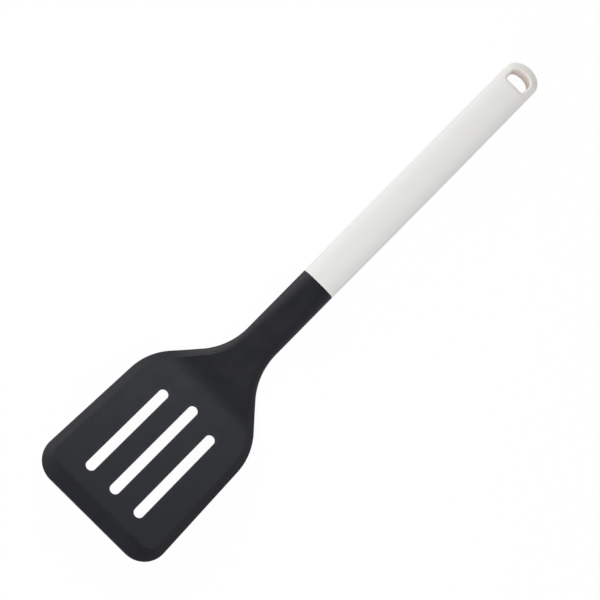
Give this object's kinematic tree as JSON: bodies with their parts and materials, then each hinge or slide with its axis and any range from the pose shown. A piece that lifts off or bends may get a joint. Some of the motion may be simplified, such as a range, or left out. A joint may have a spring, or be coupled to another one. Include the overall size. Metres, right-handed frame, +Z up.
{
  "type": "slotted spatula",
  "caption": "Slotted kitchen turner: black nylon head with a bevelled, bent blade and round-ended slots, snapped into a straight matte off-white handle with a D-shaped hanging hole.",
  "frame": {"origin": "on the surface the tool lies on, under the middle of its box", "axes": "+X along the handle to the hanging end, +Z up out of the working face of the handle, the blade rising towards -X; the tool mirrors itself about the XZ plane"},
  "size_m": [0.3438, 0.0828, 0.0379],
  "materials": {
    "black_nylon": "satin black nylon with a fine moulded grain",
    "pale_core": "natural moulded plastic, hidden inside the handle",
    "off_white_skin": "matte off-white with a fine grain",
    "grey_seal": "grey elastomer, hidden in the joint"
  },
  "bodies": {
    "root": {"turner_head": "black_nylon", "handle_core": "pale_core", "grip_skin": "off_white_skin", "tang_seal": "grey_seal"}
  },
  "joints": []
}
